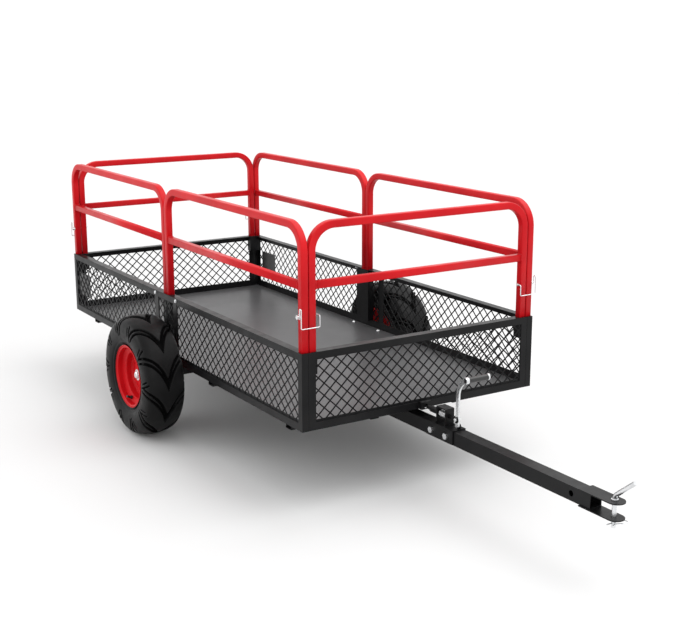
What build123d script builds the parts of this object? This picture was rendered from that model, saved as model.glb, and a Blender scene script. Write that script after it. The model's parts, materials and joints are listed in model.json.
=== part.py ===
"""Tipping garden cart: mesh-sided tray on one axle, lift-out rail hoops, drawbar with a clevis hitch.

All dimensions are in millimetres. +X points to the hitch, +Z is up, the ground is z = 0.
The cart is drawn about the middle of its tray and moved by ROW_X as each piece is saved,
so that the origin lies under the centre of the whole cart's bounding box.
"""
import math
import os

from build123d import *

os.makedirs("parts", exist_ok=True)

ROW_X = -421.5

# tray
HALF_L, HALF_W = 893.0, 415.0
TRAY_BOTTOM, TRAY_TOP = 242.0, 468.0
SHEET = 3.0
TOP_RAIL, BOTTOM_RAIL, STILE = 20.0, 22.0, 22.0
SPLIT_X = -12.0
MID_STILE_IN, MID_STILE_OUT = 60.0, 88.0
WINDOW = (TRAY_BOTTOM + BOTTOM_RAIL, TRAY_TOP - TOP_RAIL)
FLANGE_IN = 26.0
MESH_T, STRAND = 1.6, 3.8
DIAMOND_L, DIAMOND_H = 38.0, 36.0
FLOOR_T, LIP_TOP = 1.5, 272.0
BOLT_Z, BOLT_OFFSET = 459.0, 82.0

# rail hoops
TUBE, TUBE_WALL = 22.0, 1.6
HOOP_TOP, MID_RAIL_TOP = 830.0, 666.0
BEND = 71.0
LEG_GAP, LEG_PITCH = 3.4, 24.2
LEG_BOTTOM = 407.0
SOCKET = 22.8
SOCKET_Z = (404.0, TRAY_TOP - SHEET)
POST_FOOT = 273.0
LEG_X = HALF_L - LEG_GAP - TUBE / 2
SIDE_LEG_Y = HALF_W - LEG_GAP - TUBE / 2
END_LEG_Y = SIDE_LEG_Y - LEG_PITCH
LOCK_Z, LOCK_R = 570.0, 4.0

# axle and wheels
AXLE_X, AXLE_Z = -12.0, 202.8
BEAM, BEAM_HALF = 40.0, 405.0
SPINDLE_R = 10.0
TYRE_R, TYRE_Y = 202.8, 502.7
HUB_R, HUB_IN, HUB_OUT = 26.0, -48.0, 22.0

# drawbar, latch and hitch
BAR = 40.0
BAR_Z = (181.0, 221.0)
BAR_END, CROSS_X, CROSS_R = 1614.0, 1547.0, 8.0
PLATE_T = 3.5
BRACKET_X = (940.0, 1066.0)
BOX_X, BOX_HALF, BOX_TOP = (977.0, 1022.0), 15.5, 275.0
BRACKET_BOLTS = (966.0, 1036.0)
BAR_MID_Z = 201.0
ROD_Z, ROD_R = 252.0, 6.0
NOSE_X, COLLAR_X = 913.0, 1014.0
LEVER_X, FULCRUM_Z, LEVER_W = 1057.0, 232.0, 12.0
LEVER_Y = (-2.0, 4.0)
GRIP_X, GRIP_Z = 1092.0, 375.5
HITCH_X, HITCH_R, HITCH_PIN_R = 1677.0, 6.8, 6.35
HITCH_START, HITCH_NOSE, HITCH_W = 1577.0, 1681.0, 48.0
CLIP_Z, BUSH_Z = 165.0, 171.0

# tray pivot
PIVOT_X, PIVOT_Z, PIVOT_R = -62.0, 212.0, 6.0
RAIL_Y, RAIL_W, RAIL_Z = 150.0, 30.0, (225.0, 242.0)


def save(piece, name):
    """Move a finished piece into the row frame and write its STEP file."""
    placed = piece.part.moved(Location((ROW_X, 0, 0)))
    placed.label = name
    export_step(placed, f"parts/{name}.step")


def block(x, y, z, mode=Mode.ADD):
    """Add or cut a block given by its extent along each axis."""
    with Locations(((x[0] + x[1]) / 2, (y[0] + y[1]) / 2, (z[0] + z[1]) / 2)):
        Box(abs(x[1] - x[0]), abs(y[1] - y[0]), abs(z[1] - z[0]), mode=mode)


def box_tube(x, y, z, wall, along):
    """Add a rectangular tube with open ends, running along axis 0, 1 or 2."""
    block(x, y, z)
    inner = [(s[0], s[1]) if i == along else (s[0] + wall, s[1] - wall) for i, s in enumerate((x, y, z))]
    block(*inner, mode=Mode.SUBTRACT)


def span(side, inner, outer):
    """Extent from inner to outer on one side of the centre plane, low value first."""
    return (side * inner, side * outer) if side > 0 else (side * outer, side * inner)


def bore_y(x, y, z, radius, length, mode=Mode.SUBTRACT):
    """Cylinder whose axis runs along Y."""
    with Locations((x, y, z)):
        Cylinder(radius, length, rotation=(90, 0, 0), mode=mode)


def bore_x(x, y, z, radius, length, mode=Mode.SUBTRACT):
    """Cylinder whose axis runs along X."""
    with Locations((x, y, z)):
        Cylinder(radius, length, rotation=(0, 90, 0), mode=mode)


def bolt_y(x, y_head, y_nut, z, radius, flats, head_t):
    """Hexagon bolt along Y with its nut: one solid, head at y_head, nut at y_nut."""
    side = 1 if y_head > y_nut else -1
    bore_y(x, (y_head + y_nut) / 2, z, radius, abs(y_head - y_nut) + 2 * head_t, Mode.ADD)
    for y, direction in ((y_head, side), (y_nut, -side)):
        with BuildSketch(Plane(origin=(x, y, z), x_dir=(1, 0, 0), z_dir=(0, direction, 0))) as hexagon:
            RegularPolygon(flats / 2, 6, major_radius=False)
        extrude(hexagon.sketch, amount=head_t)


# ---------------------------------------------------------------- drawbar and axle

with BuildPart() as drawbar_tube:
    box_tube((AXLE_X + BEAM / 2, BAR_END), (-BAR / 2, BAR / 2), BAR_Z, 2.5, 0)
    bore_y(CROSS_X, 0, BAR_MID_Z, CROSS_R, BAR + 2)
    for x in BRACKET_BOLTS:
        bore_y(x, 0, BAR_MID_Z, 5.2, BAR + 2)
save(drawbar_tube, "drawbar_tube")

with BuildPart() as axle_beam:
    box_tube(
        (AXLE_X - BEAM / 2, AXLE_X + BEAM / 2),
        (-BEAM_HALF, BEAM_HALF),
        (AXLE_Z - BEAM / 2, AXLE_Z + BEAM / 2),
        3.0,
        1,
    )
save(axle_beam, "axle_beam")

with BuildPart() as axle_spindles:
    for side in (-1, 1):
        bore_y(AXLE_X, side * (300 + 528.3) / 2, AXLE_Z, SPINDLE_R, 228.3, Mode.ADD)
        for y in (320.0, 402.0):
            block(
                (AXLE_X - BEAM / 2 + 3, AXLE_X + BEAM / 2 - 3),
                (side * y - 3, side * y + 3),
                (AXLE_Z - BEAM / 2 + 3, AXLE_Z + BEAM / 2 - 3),
            )
        bore_y(AXLE_X, side * (TYRE_Y + HUB_IN - 3.5), AXLE_Z, 17.0, 6.0, Mode.ADD)
        with BuildSketch(
            Plane(origin=(AXLE_X, side * (TYRE_Y + HUB_OUT), AXLE_Z), x_dir=(0, side, 0), z_dir=(side, 0, 0))
        ):
            with BuildLine():
                Polyline(
                    (0.6, 0), (0.6, 19.0), (3.2, 19.0), (3.2, 12.5), (7.4, 12.5), (10.0, 9.5), (10.0, 0),
                    close=True,
                )
            make_face()
        revolve(axis=Axis((AXLE_X, 0, AXLE_Z), (0, 1, 0)))
save(axle_spindles, "axle_spindles")

with BuildPart() as axle_braces:
    for side in (-1, 1):
        front = (AXLE_X + BEAM / 2 + 330, side * BAR / 2)
        back = (AXLE_X + BEAM / 2, side * 270)
        with BuildSketch(Plane.XY.offset(196)):
            Polygon(front, (front[0] + 52, front[1]), (back[0], back[1] + side * 42), back, align=None)
        extrude(amount=6)
save(axle_braces, "axle_braces")

with BuildPart() as pivot_lugs:
    for side in (-1, 1):
        with BuildSketch(Plane.XZ.offset(-side * 169)):
            with BuildLine():
                Polyline(
                    (PIVOT_X, PIVOT_Z + 12),
                    (AXLE_X - BEAM / 2, AXLE_Z + 16),
                    (AXLE_X - BEAM / 2, AXLE_Z - 16),
                    (PIVOT_X, PIVOT_Z - 12),
                )
                ThreePointArc((PIVOT_X, PIVOT_Z - 12), (PIVOT_X - 12, PIVOT_Z), (PIVOT_X, PIVOT_Z + 12))
            make_face()
            with Locations((PIVOT_X, PIVOT_Z)):
                Circle(PIVOT_R + 0.35, mode=Mode.SUBTRACT)
        extrude(amount=3, both=True)
save(pivot_lugs, "pivot_lugs")

with BuildPart() as rest_pad:
    block((770, 830), (-18, 18), (BAR_Z[1], BAR_Z[1] + 3.8))
    fillet(rest_pad.edges().filter_by(Axis.Z), 6)
save(rest_pad, "rest_pad")

# ---------------------------------------------------------------- latch on the drawbar

with BuildPart() as latch_bracket:
    half = BAR / 2 + PLATE_T
    deck = BAR_Z[1] + PLATE_T
    block(BRACKET_X, (-half, half), (BAR_Z[0] + 1, deck))
    block(BRACKET_X, (-BAR / 2, BAR / 2), (BAR_Z[0], BAR_Z[1]), Mode.SUBTRACT)
    block(BOX_X, (-BOX_HALF, BOX_HALF), (deck, BOX_TOP))
    block(
        (BOX_X[0] + PLATE_T, BOX_X[1] - PLATE_T),
        (-BOX_HALF, BOX_HALF),
        (deck, BOX_TOP - PLATE_T),
        Mode.SUBTRACT,
    )
    bore_x(sum(BOX_X) / 2, 0, ROD_Z, ROD_R + 0.6, BOX_X[1] - BOX_X[0] + 4)
    for x in BRACKET_BOLTS:
        bore_y(x, 0, BAR_MID_Z, 5.2, 2 * half + 2)
    with BuildSketch(Plane.XZ.offset(-4.6)):
        with BuildLine():
            Polyline(
                (LEVER_X + 7.5, FULCRUM_Z),
                (LEVER_X + 8.5, deck),
                (LEVER_X - 8.5, deck),
                (LEVER_X - 7.5, FULCRUM_Z),
            )
            ThreePointArc(
                (LEVER_X - 7.5, FULCRUM_Z), (LEVER_X, FULCRUM_Z + 7.5), (LEVER_X + 7.5, FULCRUM_Z)
            )
        make_face()
    extrude(amount=-4)
    bore_y(LEVER_X, 6.6, FULCRUM_Z, 3.05, 6)
save(latch_bracket, "latch_bracket")

with BuildPart() as bracket_bolts:
    for x in BRACKET_BOLTS:
        bolt_y(x, -BAR / 2 - PLATE_T, BAR / 2 + PLATE_T, BAR_MID_Z, 5.0, 17.0, 6.4)
    bore_y(LEVER_X, (-2.6 + 8.6) / 2, FULCRUM_Z, 3.0, 11.2, Mode.ADD)
    bore_y(LEVER_X, -3.4, FULCRUM_Z, 4.6, 1.6, Mode.ADD)
    bore_y(LEVER_X, 9.5, FULCRUM_Z, 4.6, 1.8, Mode.ADD)
save(bracket_bolts, "bracket_bolts")

with BuildPart() as lever_bar:
    with BuildSketch(Plane.XZ.offset(-LEVER_Y[0])):
        with BuildLine():
            stem = Line((LEVER_X, FULCRUM_Z), (LEVER_X, 322))
            neck = CenterArc((LEVER_X + 56, 322), 56, 180, -62)
            Line(neck @ 1, (GRIP_X, GRIP_Z - 1))
        trace(line_width=LEVER_W)
        with Locations((LEVER_X, FULCRUM_Z)):
            Circle(LEVER_W / 2)
        with Locations((GRIP_X, GRIP_Z)):
            Circle(9.8)
        with Locations((LEVER_X, FULCRUM_Z)):
            Circle(3.35, mode=Mode.SUBTRACT)
        with Locations((LEVER_X, ROD_Z)):
            Circle(3.05, mode=Mode.SUBTRACT)
    extrude(amount=-(LEVER_Y[1] - LEVER_Y[0]))
    bore_y(GRIP_X, 38, GRIP_Z, 9.8, 84, Mode.ADD)
    bore_y(GRIP_X, 38, GRIP_Z, 6.4, 90, Mode.SUBTRACT)
    with BuildSketch(Plane.XZ.offset(-6)):
        with Locations((GRIP_X, GRIP_Z)):
            Circle(12)
            Circle(7.4, mode=Mode.SUBTRACT)
    extrude(amount=-69, mode=Mode.SUBTRACT)
save(lever_bar, "lever_bar")

with BuildPart() as lever_grip:
    bore_y(GRIP_X, 40.5, GRIP_Z, 9.0, 68.6, Mode.ADD)
    bore_y(GRIP_X, 40.5, GRIP_Z, 7.45, 70, Mode.SUBTRACT)
save(lever_grip, "lever_grip")

with BuildPart() as lever_bolt:
    bolt_y(LEVER_X, -6.1, LEVER_Y[1], ROD_Z, 3.0, 10.0, 3.6)
save(lever_bolt, "lever_bolt")

with BuildPart() as latch_rod:
    with BuildSketch(Plane(origin=(0, 0, ROD_Z), x_dir=(1, 0, 0), z_dir=(0, -1, 0))):
        with BuildLine():
            Polyline(
                (NOSE_X, 0),
                (NOSE_X, ROD_R - 2),
                (NOSE_X + 3, ROD_R),
                (935, ROD_R),
                (935, 8.5),
                (936, 9.5),
                (973, 9.5),
                (974, 8.5),
                (974, ROD_R),
                (COLLAR_X, ROD_R),
                (COLLAR_X, 11),
                (COLLAR_X + 3, 11),
                (COLLAR_X + 3, ROD_R),
                (1036, ROD_R),
                (1036, 0),
                close=True,
            )
        make_face()
    revolve(axis=Axis((0, 0, ROD_Z), (1, 0, 0)))
save(latch_rod, "latch_rod")

with BuildPart() as latch_rod_eye:
    with BuildSketch(Plane.XZ.offset(2.6)):
        with Locations((LEVER_X, ROD_Z - 1)):
            Circle(9)
        with Locations(((1036 + LEVER_X) / 2, ROD_Z)):
            Rectangle(LEVER_X - 1036, 12)
        with Locations((LEVER_X, ROD_Z - 1.4)):
            SlotCenterToCenter(2.8, 7.6, rotation=90, mode=Mode.SUBTRACT)
    extrude(amount=2.9)
    block((1036, 1040), (-5.5, 5.5), (ROD_Z - 5, ROD_Z + 5))
save(latch_rod_eye, "latch_rod_eye")

with BuildPart() as latch_spring:
    seat = BOX_X[0] + PLATE_T
    length = COLLAR_X - seat - 3.4
    with BuildLine() as coil:
        Helix(length / 5, length, 9.6, center=(seat + 1.7, 0, ROD_Z), direction=(1, 0, 0))
    with BuildSketch(Plane(origin=coil.line @ 0, z_dir=coil.line % 0)):
        Circle(1.3)
    sweep(path=coil.line, is_frenet=True)
save(latch_spring, "latch_spring")

# ---------------------------------------------------------------- hitch

with BuildPart() as hitch_plates:
    for z in (BAR_Z[0] - 3.0, BAR_Z[1]):
        with BuildSketch(Plane.XY.offset(z)):
            with Locations(((HITCH_START + HITCH_NOSE) / 2, 0)):
                Rectangle(HITCH_NOSE - HITCH_START, HITCH_W)
            with Locations((HITCH_NOSE, 0)):
                Circle(HITCH_W / 2)
            with Locations((HITCH_X, 0)):
                Circle(HITCH_R, mode=Mode.SUBTRACT)
        extrude(amount=3.0)
    with Locations((HITCH_X, 0, (BUSH_Z + BAR_Z[0] - 3.0) / 2)):
        Cylinder(11, BAR_Z[0] - 3.0 - BUSH_Z)
        Cylinder(HITCH_R, BAR_Z[0] - 3.0 - BUSH_Z, mode=Mode.SUBTRACT)
save(hitch_plates, "hitch_plates")

with BuildPart() as hitch_pin:
    with BuildLine() as shaft:
        FilletPolyline((HITCH_X, 0, 152), (HITCH_X, 0, 236), (1740, 0, 288.5), radius=14)
    with BuildSketch(Plane(origin=(HITCH_X, 0, 152), z_dir=(0, 0, 1))):
        Circle(HITCH_PIN_R)
    sweep(path=shaft.line)
    with Locations((HITCH_X, 0, BAR_Z[1] + 4.8)):
        Cylinder(9, 2.8)
    bore_y(HITCH_X, 0, CLIP_Z, 2.0, 30)
    chamfer(hitch_pin.faces().sort_by(Axis.Z)[0].edges(), 1.5)
save(hitch_pin, "hitch_pin")

with BuildPart() as hairpin:
    with BuildLine() as wire:
        Line((HITCH_X, -24, CLIP_Z), (HITCH_X, 24, CLIP_Z))
        ThreePointArc((HITCH_X, 24, CLIP_Z), (HITCH_X + 10, 34, CLIP_Z), (HITCH_X + 20, 24, CLIP_Z))
        Spline(
            (HITCH_X + 20, 24, CLIP_Z),
            (HITCH_X + 13, 8, CLIP_Z),
            (HITCH_X + 9.8, -4, CLIP_Z),
            (HITCH_X + 15, -18, CLIP_Z),
            tangents=((0, -1, 0), (0.6, -1, 0)),
        )
    with BuildSketch(Plane(origin=(HITCH_X, -24, CLIP_Z), z_dir=(0, 1, 0))):
        Circle(1.6)
    sweep(path=wire.line)
save(hairpin, "hairpin")

# ---------------------------------------------------------------- wheels


def wheel(side, label, valve_angle):
    """Tyre, rim, hub and valve of one wheel; profiles run (outboard offset, radius)."""
    plane = Plane(origin=(AXLE_X, side * TYRE_Y, AXLE_Z), x_dir=(0, side, 0), z_dir=(side, 0, 0))
    axis = Axis((AXLE_X, 0, AXLE_Z), (0, 1, 0))
    outer = [(53.0, 107.5), (61.5, 119.0), (69.7, 150.0), (66.0, 178.0), (50.0, 194.0), (26.0, 200.8)]
    inner = [(45.0, 112.0), (54.0, 123.0), (61.7, 150.0), (58.0, 172.0), (44.0, 185.5), (24.0, 191.0)]

    with BuildPart() as tyre:
        with BuildSketch(plane):
            with BuildLine():
                crown = Spline(*outer, (0, TYRE_R), *[(-a, r) for a, r in reversed(outer)])
                carcass = Spline(*inner, (0, 192.6), *[(-a, r) for a, r in reversed(inner)])
                for s in (1, -1):
                    Polyline((s * 53.0, 107.5), (s * 52.4, 100.3), (s * 43.0, 100.3), (s * 45.0, 112.0))
            make_face()
        revolve(axis=axis)
    save(tyre, f"{label}_tyre")

    with BuildPart() as rim:
        with BuildSketch(plane):
            with BuildLine():
                FilletPolyline(
                    (59.5, 105.0), (55.6, 103.2), (54.6, 98.5), (38.0, 98.5), (31.0, 80.0),
                    (-20.0, 80.0), (-28.0, 98.5), (-54.6, 98.5), (-55.6, 103.2), (-59.5, 105.0),
                    radius=1.7,
                )
            trace(line_width=2.8)
        revolve(axis=axis)
        with BuildSketch(plane):
            with BuildLine():
                FilletPolyline((14.0, 78.4), (6.0, 74.0), (6.0, 50.0), (14.0, 44.0), (14.0, 27.0), radius=4)
            trace(line_width=3.0)
        revolve(axis=axis)
        direction = Vector(math.cos(math.radians(valve_angle)), 0, math.sin(math.radians(valve_angle)))
        seat = Vector(AXLE_X, side * (TYRE_Y + 34.5), AXLE_Z) + direction * 89.2
        stem = Vector(0, side * 0.935, 0) - direction * 0.354
        with Locations(Plane(origin=seat, z_dir=stem)):
            Cylinder(4.6, 12, mode=Mode.SUBTRACT)
    save(rim, f"{label}_rim")

    with BuildPart() as valve:
        with Locations(Plane(origin=seat - stem * 5, z_dir=stem)):
            Cone(6.6, 4.3, 3, align=(Align.CENTER, Align.CENTER, Align.MIN))
        with Locations(Plane(origin=seat - stem * 2, z_dir=stem)):
            Cylinder(4.3, 5.4, align=(Align.CENTER, Align.CENTER, Align.MIN))
        with Locations(Plane(origin=seat + stem * 3.4, z_dir=stem)):
            Cone(6.2, 3.6, 10, align=(Align.CENTER, Align.CENTER, Align.MIN))
        with Locations(Plane(origin=seat + stem * 13.4, z_dir=stem)):
            Cylinder(4.0, 9, align=(Align.CENTER, Align.CENTER, Align.MIN))
    save(valve, f"{label}_valve")

    with BuildPart() as hub:
        with BuildSketch(plane):
            with BuildLine():
                Polyline(
                    (HUB_IN, SPINDLE_R + 0.35),
                    (HUB_IN, HUB_R - 6),
                    (HUB_IN + 6, HUB_R),
                    (HUB_OUT - 4, HUB_R),
                    (HUB_OUT, HUB_R - 4),
                    (HUB_OUT, SPINDLE_R + 0.35),
                    close=True,
                )
            make_face()
        revolve(axis=axis)
    save(hub, f"{label}_hub")


wheel(-1, "right_wheel", 252.0)
wheel(1, "left_wheel", 40.0)

# ---------------------------------------------------------------- tray panels


def side_panel(side, end, label):
    """Long-side panel frame and its mesh; end is +1 for the front half, -1 for the rear half."""
    corner = end * HALF_L
    lo, hi = sorted((SPLIT_X, corner))
    face = span(side, HALF_W - SHEET, HALF_W)
    stile_in = SPLIT_X + end * MID_STILE_IN
    stile_out = SPLIT_X + end * MID_STILE_OUT

    with BuildPart() as frame:
        block((lo, hi), face, (TRAY_BOTTOM, TRAY_TOP))
        block(sorted((stile_out, corner - end * STILE)), face, WINDOW, Mode.SUBTRACT)
        block(sorted((SPLIT_X, stile_in)), face, WINDOW, Mode.SUBTRACT)
        shelf = sorted((SPLIT_X, corner - end * SHEET))
        block(shelf, span(side, HALF_W - FLANGE_IN, HALF_W - SHEET), (TRAY_TOP - SHEET, TRAY_TOP))
        block(shelf, span(side, HALF_W - 25, HALF_W - SHEET), (TRAY_BOTTOM, TRAY_BOTTOM + SHEET))
        block(
            sorted((corner, corner - end * SHEET)),
            span(side, HALF_W - 21, HALF_W - SHEET),
            (TRAY_BOTTOM, TRAY_TOP),
        )
        notch = (TRAY_TOP - SHEET - 1, TRAY_TOP + 1)
        opening = span(side, HALF_W - FLANGE_IN - 1, HALF_W - SHEET)
        block(
            sorted((corner - end * SHEET, corner - end * (SHEET + SOCKET))), opening, notch, Mode.SUBTRACT
        )
        leg_x = SPLIT_X + end * LEG_PITCH / 2
        block(sorted((SPLIT_X, leg_x + end * SOCKET / 2)), opening, notch, Mode.SUBTRACT)
        bore_y(SPLIT_X + end * BOLT_OFFSET, side * HALF_W, BOLT_Z, 3.1, 20)
    save(frame, f"{label}_frame")

    mesh_sheet(
        Plane(origin=(0, side * (HALF_W - SHEET), 0), x_dir=(1, 0, 0), z_dir=(0, -1, 0)),
        sorted((SPLIT_X + end * 1.0, corner - end * STILE)),
        side,
        f"{label}_mesh",
        gap=sorted((stile_in, stile_out)),
    )


def end_panel(end, label):
    """Front (+1) or rear (-1) panel frame and its mesh."""
    face = span(end, HALF_L - SHEET, HALF_L)
    half = HALF_W - 21.5
    flange_half = HALF_W - FLANGE_IN - 0.4
    opening_y = HALF_W - STILE - 22.0

    with BuildPart() as frame:
        block(face, (-half, half), (TRAY_BOTTOM, TRAY_TOP))
        block(face, (-opening_y, opening_y), WINDOW, Mode.SUBTRACT)
        flange = span(end, HALF_L - FLANGE_IN - 2, HALF_L - SHEET)
        block(flange, (-flange_half, flange_half), (TRAY_TOP - SHEET, TRAY_TOP))
        block(
            span(end, HALF_L - 25, HALF_L - SHEET),
            (-flange_half, flange_half),
            (TRAY_BOTTOM, TRAY_BOTTOM + SHEET),
        )
        for side in (-1, 1):
            block(
                span(end, HALF_L - SHEET - SOCKET, HALF_L - SHEET),
                span(side, END_LEG_Y - SOCKET / 2, flange_half + 1),
                (TRAY_TOP - SHEET - 1, TRAY_TOP + 1),
                Mode.SUBTRACT,
            )
    save(frame, f"{label}_frame")

    mesh_sheet(
        Plane(origin=(end * (HALF_L - SHEET), 0, 0), x_dir=(0, 1, 0), z_dir=(1, 0, 0)),
        (-opening_y, opening_y),
        end,
        f"{label}_mesh",
        gap=None,
    )


def mesh_sheet(plane, extent, outward, label, gap):
    """Expanded-metal sheet in a panel's window: diamonds in two staggered grids, a thin selvedge."""
    width, height = extent[1] - extent[0], WINDOW[1] - WINDOW[0]
    centre = ((extent[0] + extent[1]) / 2, (WINDOW[0] + WINDOW[1]) / 2)
    edge = math.hypot(DIAMOND_L, DIAMOND_H)
    shrink = 1 - STRAND * edge / (DIAMOND_L * DIAMOND_H)
    a, b = DIAMOND_L / 2 * shrink, DIAMOND_H / 2 * shrink
    columns, rows = int(width / DIAMOND_L) + 2, int(height / DIAMOND_H) + 2
    grid = []
    for i in range(-columns, columns + 1):
        for j in range(-rows, rows + 1):
            if (i + j) % 2 == 0:
                u, v = i * DIAMOND_L / 2, j * DIAMOND_H / 2
                if abs(u) < width / 2 + a - 3 and abs(v) < height / 2 + b - 3:
                    grid.append((u, v))
    with BuildSketch() as holes:
        with Locations(*grid):
            Polygon((a, 0), (0, b), (-a, 0), (0, -b), align=None)
        Rectangle(width - 4, height - 4, mode=Mode.INTERSECT)
        if gap:
            with Locations(((gap[0] + gap[1]) / 2 - centre[0], 0)):
                Rectangle(gap[1] - gap[0] + 3, height, mode=Mode.SUBTRACT)
    with BuildPart() as sheet:
        with BuildSketch(plane) as outline:
            with Locations(centre):
                Rectangle(width, height)
                add(holes.sketch, mode=Mode.SUBTRACT)
            if gap:
                with Locations(((gap[0] + gap[1]) / 2, centre[1])):
                    Rectangle(gap[1] - gap[0], height, mode=Mode.SUBTRACT)
        extrude(amount=MESH_T, dir=(0, outward, 0) if abs(plane.z_dir.Y) > 0.5 else (outward, 0, 0))
    save(sheet, label)


for side, side_name in ((-1, "right"), (1, "left")):
    side_panel(side, 1, f"{side_name}_front_panel")
    side_panel(side, -1, f"{side_name}_rear_panel")
end_panel(1, "front_panel")
end_panel(-1, "rear_panel")

with BuildPart() as floor_pan:
    inner_l, inner_w = HALF_L - SHEET - 0.4, HALF_W - SHEET - 0.4
    floor_z = TRAY_BOTTOM + SHEET
    block((-inner_l, inner_l), (-inner_w, inner_w), (floor_z, LIP_TOP))
    block(
        (-inner_l + FLOOR_T, inner_l - FLOOR_T),
        (-inner_w + FLOOR_T, inner_w - FLOOR_T),
        (floor_z + FLOOR_T, LIP_TOP),
        Mode.SUBTRACT,
    )
save(floor_pan, "floor_pan")

with BuildPart() as corner_sockets:
    for end in (-1, 1):
        for side in (-1, 1):
            wall_x = HALF_L - SHEET - SOCKET
            far_y = END_LEG_Y - SOCKET / 2
            web_y = SIDE_LEG_Y - LEG_PITCH / 2
            block(span(end, wall_x - 2, wall_x), span(side, far_y - 2, HALF_W - SHEET), SOCKET_Z)
            block(span(end, wall_x, HALF_L - SHEET), span(side, far_y - 2, far_y), SOCKET_Z)
            block(span(end, wall_x, HALF_L - SHEET), span(side, web_y - 0.7, web_y + 0.7), SOCKET_Z)
            block(
                span(end, wall_x, HALF_L - SHEET),
                span(side, far_y, HALF_W - SHEET),
                (SOCKET_Z[0], SOCKET_Z[0] + 2.5),
            )
save(corner_sockets, "corner_sockets")

with BuildPart() as mid_sockets:
    for side in (-1, 1):
        reach = LEG_PITCH / 2 + SOCKET / 2
        wall_y = HALF_W - SHEET - SOCKET
        pocket = span(side, wall_y, HALF_W - SHEET)
        post_z = (POST_FOOT, SOCKET_Z[1])
        block((SPLIT_X - reach - 2, SPLIT_X + reach + 2), span(side, wall_y - 2, wall_y), post_z)
        block((SPLIT_X - reach - 2, SPLIT_X - reach), pocket, post_z)
        block((SPLIT_X + reach, SPLIT_X + reach + 2), pocket, post_z)
        block((SPLIT_X - 0.7, SPLIT_X + 0.7), pocket, SOCKET_Z)
        block((SPLIT_X - reach, SPLIT_X + reach), pocket, (SOCKET_Z[0], SOCKET_Z[0] + 2.5))
        for end in (-1, 1):
            ear = sorted((SPLIT_X + end * (reach + 2), SPLIT_X + end * MID_STILE_OUT))
            block(ear, span(side, HALF_W - SHEET - 3, HALF_W - SHEET), (446, SOCKET_Z[1]))
            bore_y(SPLIT_X + end * BOLT_OFFSET, side * (HALF_W - SHEET), BOLT_Z, 3.1, 20)
save(mid_sockets, "mid_sockets")

with BuildPart() as panel_bolts:
    for side in (-1, 1):
        for end in (-1, 1):
            x = SPLIT_X + end * BOLT_OFFSET
            bore_y(x, side * 409.5, BOLT_Z, 3.0, 13, Mode.ADD)
            bore_y(x, side * (HALF_W + 0.6), BOLT_Z, 6.5, 1.2, Mode.ADD)
            bore_y(x, side * (HALF_W + 2.2), BOLT_Z, 5.4, 2.0, Mode.ADD)
            nut_plane = Plane(origin=(x, side * (HALF_W - SHEET - 3), BOLT_Z), x_dir=(1, 0, 0), z_dir=(0, -side, 0))
            with BuildSketch(nut_plane):
                RegularPolygon(5, 6, major_radius=False)
            extrude(amount=5)
save(panel_bolts, "panel_bolts")

with BuildPart() as label_plates:
    for side in (-1, 1):
        block((-848, -737), span(side, HALF_W - SHEET - 1.6, HALF_W - SHEET - 0.1), (313, 402))
    fillet(label_plates.edges().filter_by(Axis.Y), 4)
save(label_plates, "label_plates")

# ---------------------------------------------------------------- under the tray

with BuildPart() as under_frame:
    for side in (-1, 1):
        rail = span(side, RAIL_Y - RAIL_W / 2, RAIL_Y + RAIL_W / 2)
        box_tube((-860, 860), rail, RAIL_Z, 2.0, 0)
    for x in (-700.0, 300.0, 800.0):
        cross = (x - RAIL_W / 2, x + RAIL_W / 2)
        box_tube(cross, (-RAIL_Y + RAIL_W / 2 + 0.2, RAIL_Y - RAIL_W / 2 - 0.2), RAIL_Z, 2.0, 1)
        for side in (-1, 1):
            box_tube(cross, span(side, RAIL_Y + RAIL_W / 2 + 0.2, HALF_W - 8), RAIL_Z, 2.0, 1)
save(under_frame, "under_frame")

with BuildPart() as pivot_ears:
    for side in (-1, 1):
        with BuildSketch(Plane.XZ.offset(-side * 161)):
            with BuildLine():
                Polyline(
                    (PIVOT_X + 14, PIVOT_Z), (PIVOT_X + 26, RAIL_Z[0]), (PIVOT_X - 26, RAIL_Z[0]),
                    (PIVOT_X - 14, PIVOT_Z),
                )
                ThreePointArc((PIVOT_X - 14, PIVOT_Z), (PIVOT_X, PIVOT_Z - 14), (PIVOT_X + 14, PIVOT_Z))
            make_face()
            with Locations((PIVOT_X, PIVOT_Z)):
                Circle(PIVOT_R + 0.1, mode=Mode.SUBTRACT)
        extrude(amount=3, both=True)
save(pivot_ears, "pivot_ears")

with BuildPart() as pivot_bolts:
    for side in (-1, 1):
        bolt_y(PIVOT_X, side * 173, side * 158, PIVOT_Z, PIVOT_R, 19.0, 7.0)
save(pivot_bolts, "pivot_bolts")

with BuildPart() as latch_catch:
    block((HALF_L, 909), (-18, 18), (TRAY_BOTTOM + 1, 266))
    block((HALF_L, 905), (-15, 15), (TRAY_BOTTOM + 1, 263), Mode.SUBTRACT)
    bore_x(905, 0, ROD_Z, ROD_R + 1.2, 12)
save(latch_catch, "latch_catch")

# ---------------------------------------------------------------- rail hoops


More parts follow.
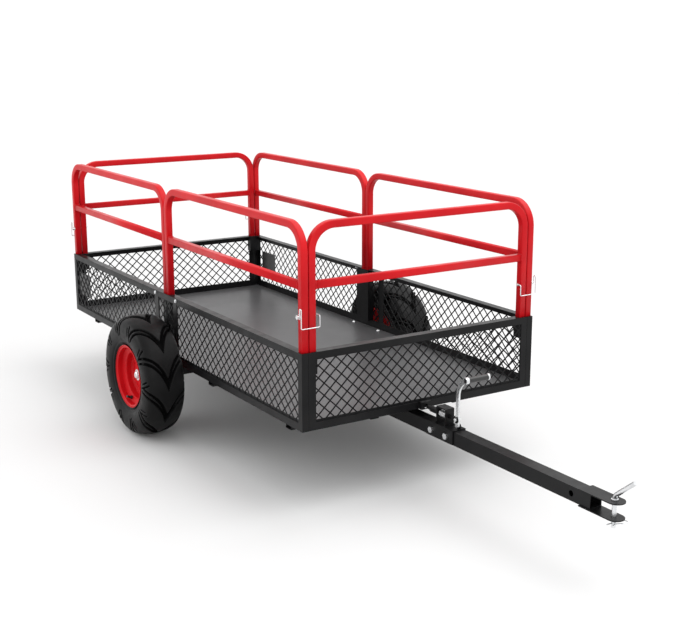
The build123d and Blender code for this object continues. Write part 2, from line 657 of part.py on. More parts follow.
def hoop(plane, half, label, pin_holes):
    """Bent square tube with a welded middle rail; half is half the distance between leg centres."""
    top, mid = HOOP_TOP - TUBE / 2, MID_RAIL_TOP - TUBE / 2
    corners = [(-half, LEG_BOTTOM), (-half, top), (half, top), (half, LEG_BOTTOM)]
    inner = TUBE - 2 * TUBE_WALL

    with BuildPart() as bow:
        with BuildSketch(plane):
            with BuildLine():
                FilletPolyline(*corners, radius=BEND)
            trace(line_width=TUBE)
        extrude(amount=TUBE / 2, both=True)
        with BuildSketch(plane):
            with BuildLine():
                FilletPolyline(*corners, radius=BEND)
            trace(line_width=inner)
        extrude(amount=inner / 2, both=True, mode=Mode.SUBTRACT)
        for width, mode in ((TUBE, Mode.ADD), (inner, Mode.SUBTRACT)):
            with BuildSketch(plane):
                with Locations((0, mid)):
                    Rectangle(2 * half - TUBE, width)
            extrude(amount=width / 2, both=True, mode=mode)
        for x, y in pin_holes:
            bore_y(x, y, LOCK_Z, LOCK_R + 0.4, TUBE + 2)
    save(bow, label)


for end, end_name in ((1, "front"), (-1, "rear")):
    mid_leg = SPLIT_X + end * LEG_PITCH / 2
    centre_x, half_x = (mid_leg + end * LEG_X) / 2, abs(end * LEG_X - mid_leg) / 2
    for side, side_name in ((-1, "right"), (1, "left")):
        hoop(
            Plane(origin=(centre_x, side * SIDE_LEG_Y, 0), x_dir=(1, 0, 0), z_dir=(0, -1, 0)),
            half_x,
            f"hoop_{side_name}_{end_name}",
            [(end * LEG_X, side * SIDE_LEG_Y)],
        )
    hoop(
        Plane(origin=(end * LEG_X, 0, 0), x_dir=(0, 1, 0), z_dir=(1, 0, 0)),
        END_LEG_Y,
        f"hoop_{end_name}",
        [(end * LEG_X, side * END_LEG_Y) for side in (-1, 1)],
    )

# ---------------------------------------------------------------- lock pins with wire bails


def lock_pin(end, side, label):
    """Pin through the two legs of a corner, and the wire bail that hangs in front of them."""
    x = end * LEG_X
    outer, inner = SIDE_LEG_Y + TUBE / 2 + 0.4, END_LEG_Y - TUBE / 2 - 4.0
    with BuildPart() as pin:
        bore_y(x, side * (outer + inner) / 2, LOCK_Z, LOCK_R, outer - inner, Mode.ADD)
        bore_y(x, side * (outer + 1), LOCK_Z, 7.5, 2, Mode.ADD)
        bore_y(x, side * (outer + 5), LOCK_Z, 6.0, 9, Mode.ADD)
        chamfer(pin.faces().sort_by(Axis.Y)[0 if side > 0 else -1].edges(), 1.2)
        arm = side * (outer + 6.0)
        bore_x(x + end * 4, arm, LOCK_Z + 1, 1.8, 8)
    save(pin, f"{label}_pin")

    front = x + end * 18.9
    tip = side * (inner - 2.6)
    with BuildPart() as bail:
        with BuildLine() as wire:
            FilletPolyline(
                (x + end * 1, arm, LOCK_Z + 1),
                (x + end * 10, arm, LOCK_Z + 1),
                (x + end * 10, arm, LOCK_Z + 25),
                (front, arm, LOCK_Z + 25),
                (front, arm, LOCK_Z - 31),
                (front, tip, LOCK_Z - 31),
                (front, tip, LOCK_Z + 2),
                (x + end * 1, tip, LOCK_Z + 2),
                radius=4,
            )
        with BuildSketch(Plane(origin=wire.line @ 0, z_dir=wire.line % 0)):
            Circle(1.5)
        sweep(path=wire.line)
    save(bail, f"{label}_bail")


for end, end_name in ((1, "front"), (-1, "rear")):
    for side, side_name in ((-1, "right"), (1, "left")):
        lock_pin(end, side, f"lock_{end_name}_{side_name}")
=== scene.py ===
"""Looks of the tipping garden cart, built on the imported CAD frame. Units are metres."""
import json
import math

import bmesh
import bpy
import numpy as np
from mathutils import Matrix, Vector


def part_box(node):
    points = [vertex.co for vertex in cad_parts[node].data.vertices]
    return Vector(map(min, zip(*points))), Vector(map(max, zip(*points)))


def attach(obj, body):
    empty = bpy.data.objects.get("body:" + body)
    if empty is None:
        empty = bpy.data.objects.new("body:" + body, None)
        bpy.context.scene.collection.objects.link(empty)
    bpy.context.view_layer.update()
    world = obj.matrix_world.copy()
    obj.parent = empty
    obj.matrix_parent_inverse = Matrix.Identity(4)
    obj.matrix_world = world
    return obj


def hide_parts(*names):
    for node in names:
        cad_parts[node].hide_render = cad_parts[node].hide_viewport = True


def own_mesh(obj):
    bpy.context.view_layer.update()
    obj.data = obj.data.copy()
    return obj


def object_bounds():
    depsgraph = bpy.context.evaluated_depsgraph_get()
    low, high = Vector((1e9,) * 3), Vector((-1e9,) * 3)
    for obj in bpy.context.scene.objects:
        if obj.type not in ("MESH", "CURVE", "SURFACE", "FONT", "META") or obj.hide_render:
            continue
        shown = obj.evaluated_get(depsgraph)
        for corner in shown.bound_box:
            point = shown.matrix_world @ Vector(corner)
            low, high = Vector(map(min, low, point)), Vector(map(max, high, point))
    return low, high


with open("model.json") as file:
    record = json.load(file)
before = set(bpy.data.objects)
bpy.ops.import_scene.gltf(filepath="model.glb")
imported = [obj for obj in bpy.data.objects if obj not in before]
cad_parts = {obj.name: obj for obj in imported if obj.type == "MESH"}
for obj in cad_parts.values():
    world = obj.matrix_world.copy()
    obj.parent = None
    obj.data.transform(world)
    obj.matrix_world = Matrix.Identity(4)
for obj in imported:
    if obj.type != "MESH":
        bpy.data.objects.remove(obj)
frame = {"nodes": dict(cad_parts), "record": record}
NODES = frame["nodes"]
RECORD = frame["record"]
SLOT_OF = {p["node"]: p["material_slot"] for p in RECORD["subparts"]}
BODY_OF = {n: b for b, nodes in RECORD["behaviour"]["bodies"].items() for n in nodes}
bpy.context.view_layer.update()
TRAY_X = sum(c.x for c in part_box("floor_pan")) / 2

# ---------------------------------------------------------------- materials


def new_material(name):
    mat = bpy.data.materials.new(name)
    mat.use_nodes = True
    tree = mat.node_tree
    return mat, tree, tree.nodes["Principled BSDF"]


def noise_node(tree, scale, detail):
    coord = tree.nodes.new("ShaderNodeTexCoord")
    noise = tree.nodes.new("ShaderNodeTexNoise")
    noise.inputs["Scale"].default_value = scale
    noise.inputs["Detail"].default_value = detail
    tree.links.new(coord.outputs["Object"], noise.inputs["Vector"])
    return noise


def map_range(tree, source, span_in, span_out):
    """Map Range node taking source from one (low, high) span to another."""
    node = tree.nodes.new("ShaderNodeMapRange")
    for end, value_in, value_out in zip(("Min", "Max"), span_in, span_out):
        node.inputs[f"From {end}"].default_value = value_in
        node.inputs[f"To {end}"].default_value = value_out
    tree.links.new(source, node.inputs["Value"])
    return node


def finish_material(name, dark, light, scale, rough, bump, **constants):
    """Principled material whose colour, roughness and relief all vary over the surface.

    bump is (noise scale, strength, distance). A constant goes by its socket's name, with
    underscores for spaces.
    """
    mat, tree, shader = new_material(name)
    patches = noise_node(tree, scale, 5.0)
    ramp = tree.nodes.new("ShaderNodeValToRGB")
    for stop, position, color in zip(ramp.color_ramp.elements, (0.32, 0.70), (dark, light)):
        stop.position = position
        stop.color = (*color, 1)
    tree.links.new(patches.outputs["Fac"], ramp.inputs["Fac"])
    tree.links.new(ramp.outputs["Color"], shader.inputs["Base Color"])
    sheen = noise_node(tree, scale * 2.3, 6.0)
    spread = map_range(tree, sheen.outputs["Fac"], (0.3, 0.7), rough)
    tree.links.new(spread.outputs["Result"], shader.inputs["Roughness"])
    bump_scale, strength, distance = bump
    relief = noise_node(tree, bump_scale, 3.0)
    node = tree.nodes.new("ShaderNodeBump")
    node.inputs["Strength"].default_value = strength
    node.inputs["Distance"].default_value = distance
    tree.links.new(relief.outputs["Fac"], node.inputs["Height"])
    tree.links.new(node.outputs["Normal"], shader.inputs["Normal"])
    for socket, value in constants.items():
        shader.inputs[socket.replace("_", " ")].default_value = value
    return mat


# slot: dark colour, light colour, patch scale, roughness span, relief, constants
FINISHES = {
    "red_powder_coat": (
        (0.45, 0.004, 0.008), (0.55, 0.008, 0.012), 9, (0.30, 0.40), (900, 0.10, 0.0004),
        {"Specular_IOR_Level": 0.14},
    ),
    "black_powder_coat": (
        (0.0035, 0.0035, 0.0039), (0.0075, 0.0075, 0.0079), 12, (0.30, 0.42), (1100, 0.14, 0.0004),
        {"Specular_IOR_Level": 0.165},
    ),
    "black_mesh": (
        (0.004, 0.004, 0.0045), (0.008, 0.008, 0.0085), 25, (0.40, 0.52), (1200, 0.12, 0.0003),
        {"Specular_IOR_Level": 0.12},
    ),
    "grey_floor": (
        (0.066, 0.066, 0.068), (0.080, 0.080, 0.082), 3, (0.31, 0.36), (1000, 0.05, 0.0002),
        {"Specular_IOR_Level": 0.26},
    ),
    "tyre": (
        (0.0028, 0.0028, 0.0030), (0.0052, 0.0052, 0.0055), 22, (0.36, 0.50), (700, 0.22, 0.0005),
        {"Specular_IOR_Level": 0.13},
    ),
    # groove bottoms: darker than the tyre's own rubber, painted shade in the recesses
    "tyre_groove_painted_shade": (
        (0.0012, 0.0012, 0.0013), (0.003, 0.003, 0.0031), 30, (0.70, 0.85), (600, 0.2, 0.0005),
        {"Specular_IOR_Level": 0.04},
    ),
    "rubber": (
        (0.010, 0.010, 0.010), (0.018, 0.018, 0.018), 60, (0.45, 0.6), (1500, 0.1, 0.0002), {},
    ),
    "black_plastic": (
        (0.012, 0.012, 0.012), (0.020, 0.020, 0.020), 50, (0.28, 0.4), (1600, 0.12, 0.0002), {},
    ),
    "zinc": (
        (0.66, 0.67, 0.68), (0.80, 0.81, 0.82), 90, (0.24, 0.34), (1800, 0.025, 0.0001),
        {"Metallic": 1.0},
    ),
}
MATERIAL = {
    name: finish_material(name, *values, **constants)
    for name, (*values, constants) in FINISHES.items()
}

for node, obj in NODES.items():
    obj.data.materials.clear()
    obj.data.materials.append(MATERIAL[SLOT_OF[node]])

# ---------------------------------------------------------------- mesh helpers


def add_object(name, mesh, slot, body, nodes=(), material=None):
    obj = bpy.data.objects.new(name, mesh)
    bpy.context.scene.collection.objects.link(obj)
    mesh.materials.clear()
    mesh.materials.append(material or MATERIAL[slot])
    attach(obj, body)
    if nodes:
        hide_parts(*nodes)
    return obj


SHARP_ANGLE = math.radians(28)


def soften(node, width):
    """A copy of a CAD node with its sharp edges rolled over, shown in its place."""
    mesh = NODES[node].data.copy()
    bm = bmesh.new()
    bm.from_mesh(mesh)
    bmesh.ops.remove_doubles(bm, verts=bm.verts, dist=2e-6)
    for face in bm.faces:
        face.smooth = True
    bm.to_mesh(mesh)
    bm.free()
    obj = add_object(f"{node}_finished", mesh, SLOT_OF[node], BODY_OF[node], (node,))
    bevel = obj.modifiers.new("edges", "BEVEL")
    bevel.width = width
    bevel.segments = 2
    bevel.limit_method = "ANGLE"
    bevel.angle_limit = SHARP_ANGLE
    bevel.use_clamp_overlap = True
    normals = obj.modifiers.new("normals", "WEIGHTED_NORMAL")
    normals.keep_sharp = False
    return obj


def grid_mesh(name, points, closed_u, closed_v, caps=False):
    """Quad mesh from an array of points (rows, columns, 3)."""
    rows, cols, _ = points.shape
    r = np.arange(rows if closed_u else rows - 1)
    c = np.arange(cols if closed_v else cols - 1)
    rr, cc = np.meshgrid(r, c, indexing="ij")
    r2, c2 = (rr + 1) % rows, (cc + 1) % cols
    quads = np.stack([rr * cols + cc, rr * cols + c2, r2 * cols + c2, r2 * cols + cc], -1)
    mesh = bpy.data.meshes.new(name)
    faces = quads.reshape(-1, 4).tolist()
    if caps:
        faces.append(list(range(cols))[::-1])
        faces.append(list(range((rows - 1) * cols, rows * cols)))
    mesh.from_pydata(points.reshape(-1, 3).tolist(), [], faces)
    bm = bmesh.new()
    bm.from_mesh(mesh)
    bmesh.ops.recalc_face_normals(bm, faces=bm.faces)
    for face in bm.faces:
        face.smooth = len(face.verts) == 4
    bm.to_mesh(mesh)
    bm.free()
    return mesh


def rounded_square(size, radius, steps=5):
    """Corner-rounded square section as (normal, binormal) offsets."""
    half = size / 2 - radius
    out = []
    for k, (sx, sy) in enumerate(((1, 1), (-1, 1), (-1, -1), (1, -1))):
        for i in range(steps):
            a = math.radians(90 * k + 90 * i / (steps - 1))
            out.append((sx * half + radius * math.cos(a), sy * half + radius * math.sin(a)))
    return np.array(out)


def swept_tube(name, path, binormal, section):
    """Sweep a section along a planar path; binormal is the plane's normal."""
    path = np.array(path)
    tangent = np.gradient(path, axis=0)
    tangent /= np.linalg.norm(tangent, axis=1)[:, None]
    binormal = np.array(binormal, float)
    normal = np.cross(binormal, tangent)
    points = (
        path[:, None, :]
        + section[None, :, 0, None] * normal[:, None, :]
        + section[None, :, 1, None] * binormal[None, None, :]
    )
    return grid_mesh(name, points, False, True, caps=True)


def join(meshes, name):
    bm = bmesh.new()
    for mesh in meshes:
        bm.from_mesh(mesh)
    out = bpy.data.meshes.new(name)
    bm.to_mesh(out)
    bm.free()
    return out


# ---------------------------------------------------------------- rail hoops

TUBE = 0.022
BEND = 0.071
CORNER = 0.0032
RAIL_TOP = 0.666
BEAD_REACH = 0.0015
BEAD_POINTS = 72
SECTION = rounded_square(TUBE, CORNER)


def weld_bead(point, edge, inward):
    """Bead round the end of the middle rail; point(u, rise, side) gives a place on it."""
    outline = rounded_square(TUBE + 0.0004, CORNER + 0.0002, 19)[:BEAD_POINTS]
    rings = []
    for i, (dn, db) in enumerate(outline):
        radius = BEAD_REACH + 0.0002 * math.sin(i * 1.9)
        norm = math.hypot(dn, db)
        circle = []
        for j in range(8):
            t = 2 * math.pi * j / 8
            circle.append(
                point(
                    edge + inward * 0.0008 + inward * radius * math.sin(t),
                    dn + radius * math.cos(t) * dn / norm,
                    db + radius * math.cos(t) * db / norm,
                )
            )
        rings.append(circle)
    return grid_mesh("bead", np.array(rings), True, True)


def hoop(node):
    """Bent square tube with rounded corners, its middle rail and the weld beads at its ends."""
    low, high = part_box(node)
    along = 0 if high.x - low.x > high.y - low.y else 1
    across = 1 - along
    a0, a1 = low[along] + TUBE / 2, high[along] - TUBE / 2
    mid_c = (low[across] + high[across]) / 2
    top = high.z - TUBE / 2
    mid_z = RAIL_TOP - TUBE / 2

    def point(u, z, side=0.0):
        p = [0.0, 0.0, z]
        p[along], p[across] = u, mid_c + side
        return p

    outline = [(a0, low.z), (a0, top - BEND - 0.0005)]
    for corner, start in ((a0 + BEND, math.pi), (a1 - BEND, math.pi / 2)):
        for i in range(25):
            t = start - math.pi / 2 * i / 24
            outline.append((corner + BEND * math.cos(t), top - BEND + BEND * math.sin(t)))
    outline += [(a1, top - BEND - 0.0005), (a1, low.z)]
    binormal = [0.0, 0.0, 0.0]
    binormal[across] = 1.0
    bow = swept_tube("bow", [point(u, z) for u, z in outline], binormal, SECTION)
    rail_path = [point(a0 + TUBE / 2 - 0.002, mid_z), point(a1 - TUBE / 2 + 0.002, mid_z)]
    rail = swept_tube("rail", rail_path, binormal, rounded_square(TUBE - 0.0004, CORNER))

    def on_rail(u, rise, side):
        return point(u, mid_z + rise, side)

    beads = [weld_bead(on_rail, a0 + TUBE / 2, 1), weld_bead(on_rail, a1 - TUBE / 2, -1)]
    mesh = join([bow, rail, *beads], node)
    return add_object(f"{node}_finished", mesh, "red_powder_coat", BODY_OF[node], (node,))


for node in [n for n in NODES if n.startswith("hoop_")]:
    hoop(node)

# ---------------------------------------------------------------- sheet around the leg sockets

SHEET = 0.0003
# how far a post stops below its socket's rim, stands off the hoop, and reaches past the leg
UNDER_RIM, SKIN, WALL = 0.0004, 0.00034, 0.00255
PLATE_LAP = 0.0014


def sheet_post(name, x, y, z, open_top=True):
    """Thin folded sheet closed round a pair of legs."""
    bm = bmesh.new()
    square = ((0, 0), (1, 0), (1, 1), (0, 1))
    corners = [bm.verts.new((x[i], y[j], z[k])) for k in (0, 1) for i, j in square]
    for i in range(4):
        j = (i + 1) % 4
        bm.faces.new((corners[i], corners[j], corners[4 + j], corners[4 + i]))
    bm.faces.new(corners[:4][::-1])
    if not open_top:
        bm.faces.new(corners[4:])
    bmesh.ops.recalc_face_normals(bm, faces=bm.faces)
    upright = [e for e in bm.edges if abs(e.verts[0].co.z - e.verts[1].co.z) > 0.01]
    bmesh.ops.bevel(bm, geom=upright, offset=0.0002, segments=2, affect="EDGES")
    mesh = bpy.data.meshes.new(name)
    bm.to_mesh(mesh)
    bm.free()
    obj = add_object(name, mesh, "black_powder_coat", "tray")
    wall = obj.modifiers.new("wall", "SOLIDIFY")
    wall.thickness = SHEET
    wall.offset = -1
    return obj


mid_low, mid_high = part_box("mid_sockets")
corner_low, corner_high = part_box("corner_sockets")
for side in ("right", "left"):
    front_low, front_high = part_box(f"hoop_{side}_front")
    rear_low, rear_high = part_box(f"hoop_{side}_rear")
    sign = -1 if side == "right" else 1
    outer = max(abs(front_low.y), abs(front_high.y)) + SKIN
    inner = min(abs(front_low.y), abs(front_high.y)) - WALL
    y_span = sorted((sign * outer, sign * inner))
    x_span = (rear_high.x - TUBE - WALL, front_low.x + TUBE + WALL)
    mid_span = (mid_low.z - SHEET, mid_high.z - UNDER_RIM)
    sheet_post(f"mid_post_{side}", x_span, y_span, mid_span)
    for end, hoop_end in (("front", front_high.x), ("rear", rear_low.x)):
        along = math.copysign(1, hoop_end - TRAY_X)
        edge = hoop_end + along * SKIN
        z_span = (corner_low.z, corner_high.z - UNDER_RIM)
        cross = sorted((edge, hoop_end - along * (TUBE + WALL)))
        side_plate = sorted((sign * outer, sign * (outer - SHEET)))
        sheet_post(f"corner_side_{end}_{side}", cross, side_plate, z_span, open_top=False)
        end_plate = sorted((edge, edge - along * SHEET))
        reach = sorted((sign * outer, sign * (inner - TUBE - PLATE_LAP)))
        sheet_post(f"corner_end_{end}_{side}", end_plate, reach, z_span, open_top=False)

# ---------------------------------------------------------------- tyres

TREAD_RADIUS = 0.2027
TREAD_PITCH = 2 * math.pi / 10
ROUND_STEPS = 864
# a face this deep or deeper takes the darker groove material, painted shade in the groove's recess
GROOVE_FLOOR = 0.0026
# the V grooves swing back over this distance from the centre line, then run nearly straight
SWING = 0.034
# V grooves as (place round the tread, where they end), and shoulder bars as (place, width, start, end, depth)
V_GROOVES = ((0.0, 0.112), (0.020, 0.100))
V_WIDTH, V_DEPTH = 0.0078, 0.0088
SHOULDER_BARS = ((0.0, 0.0072, 0.064, 0.116, 0.0060), (0.016, 0.0066, 0.074, 0.104, 0.0052))
WALL_SLOPE, START_SLOPE, END_SLOPE = 0.0011, 0.003, 0.006

# (offset along the axle, radius), from the bead at the rim to the tread's centre line
OUTER_WALL = [
    (0.0524, 0.1003), (0.0530, 0.1075), (0.0560, 0.1120), (0.0615, 0.1190), (0.0662, 0.1300),
    (0.0690, 0.1420), (0.0697, 0.1520), (0.0690, 0.1640), (0.0664, 0.1765), (0.0612, 0.1868),
    (0.0520, 0.1938), (0.0400, 0.1982), (0.0250, 0.2010), (0.0120, 0.2023), (0.0, 0.2027),
]
# the same from the centre line back to the bead, on the inside
INNER_WALL = [
    (0.0, 0.1926), (0.024, 0.191), (0.044, 0.1855), (0.058, 0.172), (0.0615, 0.150),
    (0.054, 0.123), (0.045, 0.112), (0.0432, 0.1003),
]


def resample(points, count):
    """Even samples along a smooth (Catmull-Rom) curve through the points."""
    pts = [np.array(p) for p in points]
    pts = [2 * pts[0] - pts[1], *pts, 2 * pts[-1] - pts[-2]]
    dense = []
    for i in range(1, len(pts) - 2):
        p0, p1, p2, p3 = pts[i - 1 : i + 3]
        for k in range(40):
            t = k / 40
            dense.append(
                0.5 * (2 * p1 + (p2 - p0) * t + (2 * p0 - 5 * p1 + 4 * p2 - p3) * t**2
                       + (3 * p1 - p0 - 3 * p2 + p3) * t**3)
            )
    dense.append(pts[-2])
    dense = np.array(dense)
    gaps = np.r_[0, np.cumsum(np.linalg.norm(np.diff(dense, axis=0), axis=1))]
    at = np.linspace(0, gaps[-1], count)
    return [tuple(float(np.interp(s, gaps, dense[:, k])) for k in (0, 1)) for s in at]


def groove_depth(theta, reach, radius):
    """Depth cut into the tread; reach is the distance over the surface from its centre line."""
    arc = theta * radius
    depth = np.zeros_like(theta)

    def cut(line, width, lo, hi, deep):
        d = (arc - line) / radius
        d = (d + TREAD_PITCH / 2) % TREAD_PITCH - TREAD_PITCH / 2
        wall = np.clip((width / 2 - np.abs(d * radius)) / WALL_SLOPE + 0.5, 0, 1)
        starts = np.clip((reach - lo) / START_SLOPE, 0, 1)
        ends = np.clip((hi - reach) / END_SLOPE, 0, 1)
        return deep * wall * (starts * ends)

    swung = np.exp(-reach / SWING)
    sweep = 0.098 * (1 - swung) + 0.12 * reach
    width = V_WIDTH * (1 + 1.6 * swung)
    for shift, hi in V_GROOVES:
        depth = np.maximum(depth, cut(sweep + shift, width, -1, hi, V_DEPTH))
    bar = 0.136 - 0.45 * (reach - 0.08)
    for shift, bar_width, lo, hi, deep in SHOULDER_BARS:
        depth = np.maximum(depth, cut(bar + shift, bar_width, lo, hi, deep))
    return depth


def tyre(node, side):
    """Tyre of revolution with its grooves pressed in along the surface's normal."""
    low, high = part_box(node)
    centre = (Vector(low) + Vector(high)) / 2
    right = resample(OUTER_WALL, 70)
    inner = resample(INNER_WALL, 14)
    left = [(-a, r) for a, r in reversed(right)][1:]
    inside_left = [(-a, r) for a, r in reversed(inner)]
    inside_right = inner[1:]
    profile = right + left + inside_left + inside_right
    n_out = len(right) + len(left)
    centre_line = len(right) - 1
    theta = np.linspace(0, 2 * math.pi, ROUND_STEPS, endpoint=False)
    a = np.array([p[0] for p in profile])
    r = np.array([p[1] for p in profile])
    tt, aa = np.meshgrid(theta, a, indexing="ij")
    rr = np.broadcast_to(r, tt.shape).copy()
    # a raised ring and a fine groove on the sidewall, beside the rim
    ridge = 0.0012 * np.exp(-(((rr - 0.1165) / 0.0020) ** 2))
    ridge = ridge - 0.0008 * np.exp(-(((rr - 0.1225) / 0.0014) ** 2))
    run = np.r_[0, np.cumsum(np.hypot(np.diff(a), np.diff(r)))]
    reach = np.abs(run - run[centre_line])
    deep = groove_depth(tt, np.broadcast_to(reach, tt.shape), TREAD_RADIUS)
    deep[:, n_out:] = 0
    ridge[:, n_out:] = 0
    tangent_a, tangent_r = np.gradient(a), np.gradient(r)
    length = np.hypot(tangent_a, tangent_r)
    normal_a, normal_r = tangent_r / length, -tangent_a / length
    if normal_r[centre_line] < 0:
        normal_a, normal_r = -normal_a, -normal_r
    move = ridge - deep
    aa = aa + move * normal_a
    rr = rr + move * normal_r
    points = np.stack(
        [centre.x + rr * np.cos(tt), centre.y + side * aa, centre.z + rr * np.sin(tt)], axis=-1
    )
    mesh = grid_mesh(node, points, True, True)
    obj = add_object(f"{node}_finished", mesh, "tyre", BODY_OF[node], (node,))
    # faces deep in the grooves take the darker material: painted shade
    mesh.materials.append(MATERIAL["tyre_groove_painted_shade"])
    next_row, next_col = np.roll(deep, -1, 0), np.roll(deep, -1, 1)
    groove_shade_faces = (deep + next_row + next_col + np.roll(next_row, -1, 1)) / 4 > GROOVE_FLOOR
    mesh.polygons.foreach_set("material_index", groove_shade_faces.astype(np.int32).ravel())
    return obj


tyre("right_wheel_tyre", -1)
tyre("left_wheel_tyre", 1)

# ---------------------------------------------------------------- plates, tubes and fittings

# width of the rolled edge
EDGE = {
    "axle_beam": 0.0030, "axle_braces": 0.0008, "rest_pad": 0.0008, "bracket_bolts": 0.0006,
    "lever_grip": 0.0010, "lever_bolt": 0.0004, "latch_rod": 0.0005, "panel_bolts": 0.0007,
    "corner_sockets": 0.0005, "pivot_bolts": 0.0007, "under_frame": 0.0014, "label_plates": 0.0005,
    "floor_pan": 0.0006, "axle_spindles": 0.0008,
}
for node in NODES:
    if node.endswith("_frame") and node != "under_frame":
        EDGE[node] = 0.0007
FINISHED = {node: soften(node, width) for node, width in EDGE.items()}

# the pan's upturned lip and underside are painted black like the frames round it
LIP_START = 0.004
pan = FINISHED["floor_pan"].data
pan.materials.append(MATERIAL["black_powder_coat"])
pan_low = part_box("floor_pan")[0].z
for polygon in pan.polygons:
    if polygon.normal.z < 0.5 or polygon.center.z > pan_low + LIP_START:
        polygon.material_index = 1

# (radius, height) in shares of the nut's own
NUT_PROFILE = (
    (1.25, 0.0), (1.25, 0.16), (1.02, 0.20), (1.0, 0.42),
    (0.92, 0.66), (0.72, 0.86), (0.42, 0.97), (0.12, 1.0),
)
NUT_SIDES = 24


def dome_nut(bm, place, axis, radius=0.0062, height=0.0048):
    """Domed nut with its washer, standing along axis."""
    turn = Vector((0, 0, 1)).rotation_difference(Vector(axis)).to_matrix().to_4x4()
    spot = Matrix.Translation(place) @ turn
    rings = []
    for r, h in NUT_PROFILE:
        ring = []
        for i in range(NUT_SIDES):
            t = 2 * math.pi * i / NUT_SIDES
            corner = Vector((r * radius * math.cos(t), r * radius * math.sin(t), h * height))
            ring.append(bm.verts.new(spot @ corner))
        rings.append(ring)
    for below, above in zip(rings, rings[1:]):
        for i in range(NUT_SIDES):
            j = (i + 1) % NUT_SIDES
            bm.faces.new((below[i], below[j], above[j], above[i])).smooth = True
    bm.faces.new(rings[-1])
    bm.faces.new(rings[0][::-1])


# the nuts sit behind the dome bolts of the side panels, and on the pan beside the mid sockets
bolts_low, bolts_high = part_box("panel_bolts")
bolt_head = 0.013
bolt_reach = (bolts_high.x - bolts_low.x - bolt_head) / 2
bolt_z = sum(c.z for c in (bolts_low, bolts_high)) / 2
split = sum(c.x for c in (mid_low, mid_high)) / 2
rail_y = mid_high.y - 0.003
pan_bolt_y, pan_top = 0.396, pan_low + 0.0016
for side in ("right", "left"):
    sign = -1 if side == "right" else 1
    bm = bmesh.new()
    for end in (-1, 1):
        dome_nut(bm, (split + end * bolt_reach, sign * rail_y, bolt_z), (0, -sign, 0))
        dome_nut(bm, (split + end * bolt_reach, sign * pan_bolt_y, pan_top), (0, 0, 1), 0.0066)
    mesh = bpy.data.meshes.new(f"inner_nuts_{side}")
    bm.to_mesh(mesh)
    bm.free()
    add_object(f"inner_nuts_{side}", mesh, "zinc", "tray")

# round CAD nodes keep their shape and are only shaded smooth
for node in NODES:
    if node.endswith(("_rim", "_hub", "_valve", "_bail", "_pin")) or node == "hairpin":
        for polygon in NODES[node].data.polygons:
            polygon.use_smooth = True

# ---------------------------------------------------------------- latch spring

# share of the spring's length of wire that lies closed at each end
CLOSED_SHARE = 0.11


def coil_spring():
    """Compression spring with closed ends round the latch rod."""
    low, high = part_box("latch_spring")
    wire = 0.0013
    mean = (high.z - low.z) / 2 - wire
    centre_z = (high.z + low.z) / 2
    centre_y = (high.y + low.y) / 2
    start, stop = low.x + wire, high.x - wire
    turns, steps, sides = 6.5, 44, 12
    t = np.linspace(0, 1, int(turns * steps) + 1)
    angle = 2 * math.pi * turns * t
    share = np.clip((t - CLOSED_SHARE) / (1 - 2 * CLOSED_SHARE), 0, 1)
    closed = 2 * wire * 1.03
    x = start + closed * np.clip(t / CLOSED_SHARE, 0, 1) + (stop - start - 2 * closed) * share
    x = x + closed * np.clip((t - (1 - CLOSED_SHARE)) / CLOSED_SHARE, 0, 1)
    radial = np.stack([np.zeros_like(angle), np.cos(angle), np.sin(angle)], -1)
    path = np.stack([x, centre_y + mean * np.cos(angle), centre_z + mean * np.sin(angle)], -1)
    tangent = np.gradient(path, axis=0)
    tangent /= np.linalg.norm(tangent, axis=1)[:, None]
    side = np.cross(tangent, radial)
    ring = 2 * math.pi * np.arange(sides) / sides
    points = (
        path[:, None, :]
        + wire * np.cos(ring)[None, :, None] * radial[:, None, :]
        + wire * np.sin(ring)[None, :, None] * side[:, None, :]
    )
    mesh = grid_mesh("latch_spring", points, False, True, caps=True)
    name = "latch_spring"
    obj = add_object(f"{name}_finished", mesh, "zinc", BODY_OF[name], (name,))
    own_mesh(obj)


coil_spring()

# ---------------------------------------------------------------- camera, light and floor

# the photograph's viewing angle; 36 mm sensor
CAMERA_PLACE = Vector((3.5854 + TRAY_X, -1.9893, 1.3320))
AZIMUTH, ELEVATION, ROLL = math.radians(57.7798), math.radians(13.4093), math.radians(-0.112)

camera_data = bpy.data.cameras.new("camera")
camera_data.lens = 62.65
camera_data.sensor_width = 36
camera = bpy.data.objects.new("camera", camera_data)
bpy.context.scene.collection.objects.link(camera)
level = math.cos(ELEVATION)
back = Vector((math.sin(AZIMUTH) * level, -math.cos(AZIMUTH) * level, math.sin(ELEVATION)))
right = Vector((0, 0, 1)).cross(back).normalized()
up = back.cross(right)
rolled_right = math.cos(ROLL) * right + math.sin(ROLL) * up
rolled_up = -math.sin(ROLL) * right + math.cos(ROLL) * up
aim = Matrix((rolled_right, rolled_up, back)).transposed().to_4x4()
camera.matrix_world = Matrix.Translation(CAMERA_PLACE) @ aim
bpy.context.scene.camera = camera


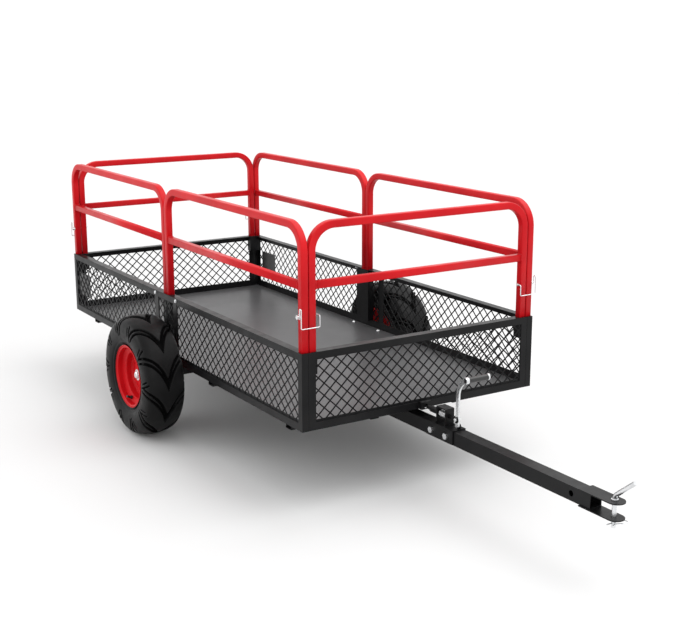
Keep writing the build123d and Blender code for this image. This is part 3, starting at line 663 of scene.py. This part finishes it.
def area_light(name, place, target, size, power):
    data = bpy.data.lights.new(name, "AREA")
    data.shape = "RECTANGLE"
    data.size, data.size_y = size
    data.energy = power
    lamp = bpy.data.objects.new(name, data)
    bpy.context.scene.collection.objects.link(lamp)
    lamp.visible_camera = False
    lamp.location = place
    lamp.rotation_euler = (Vector(target) - Vector(place)).to_track_quat("-Z", "Y").to_euler()


area_light("overhead", (0.8, 1.4, 3.7), (-0.4, 0, 0.2), (4.2, 3.4), 106)
area_light("front_fill", (3.6, -2.6, 2.4), (-0.2, 0, 0.4), (2.6, 2.0), 14)
area_light("left_strip", (-2.6, -3.6, 2.2), (-0.4, 0, 0.4), (2.4, 1.8), 34)

world = bpy.data.worlds.new("studio")
bpy.context.scene.world = world
world.use_nodes = True
sky = world.node_tree.nodes["Background"]
sky.inputs["Color"].default_value = (1, 1, 1, 1)
sky.inputs["Strength"].default_value = 1.22
bpy.context.scene.view_settings.view_transform = "Standard"

FLOOR_REACH = 40.0
FLOOR_GAP = 0.0005


def painted_shade_floor_material(near_grey, far_grey, near_reach, far_reach):
    """Floor with painted shade: darker grey around the cart, standing in for its soft shadow, and lighter at
    a distance.
    """
    mat, tree, shader = new_material("studio_floor")
    place = tree.nodes.new("ShaderNodeNewGeometry")
    reach = tree.nodes.new("ShaderNodeVectorMath")
    reach.operation = "LENGTH"
    tree.links.new(place.outputs["Position"], reach.inputs[0])
    reaches, greys = (near_reach, far_reach), (near_grey, far_grey)
    grey = map_range(tree, reach.outputs["Value"], reaches, greys)
    grey.interpolation_type = "SMOOTHSTEP"
    tree.links.new(grey.outputs["Result"], shader.inputs["Base Color"])
    shader.inputs["Roughness"].default_value = 0.55
    shader.inputs["Specular IOR Level"].default_value = 0.2
    return mat


floor_mesh = bpy.data.meshes.new("studio_floor")
outline = [(FLOOR_REACH * u, FLOOR_REACH * v, 0) for u, v in ((-1, -1), (1, -1), (1, 1), (-1, 1))]
floor_mesh.from_pydata(outline, [], [(0, 1, 2, 3)])
# the floor is darker near the cart: painted shade standing in for the cart's soft shadow on it
floor_mesh.materials.append(painted_shade_floor_material(0.645, 0.83, 1.8, 7.0))
floor = bpy.data.objects.new("studio_floor", floor_mesh)
bpy.context.scene.collection.objects.link(floor)
floor.location.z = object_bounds()[0][2] - FLOOR_GAP
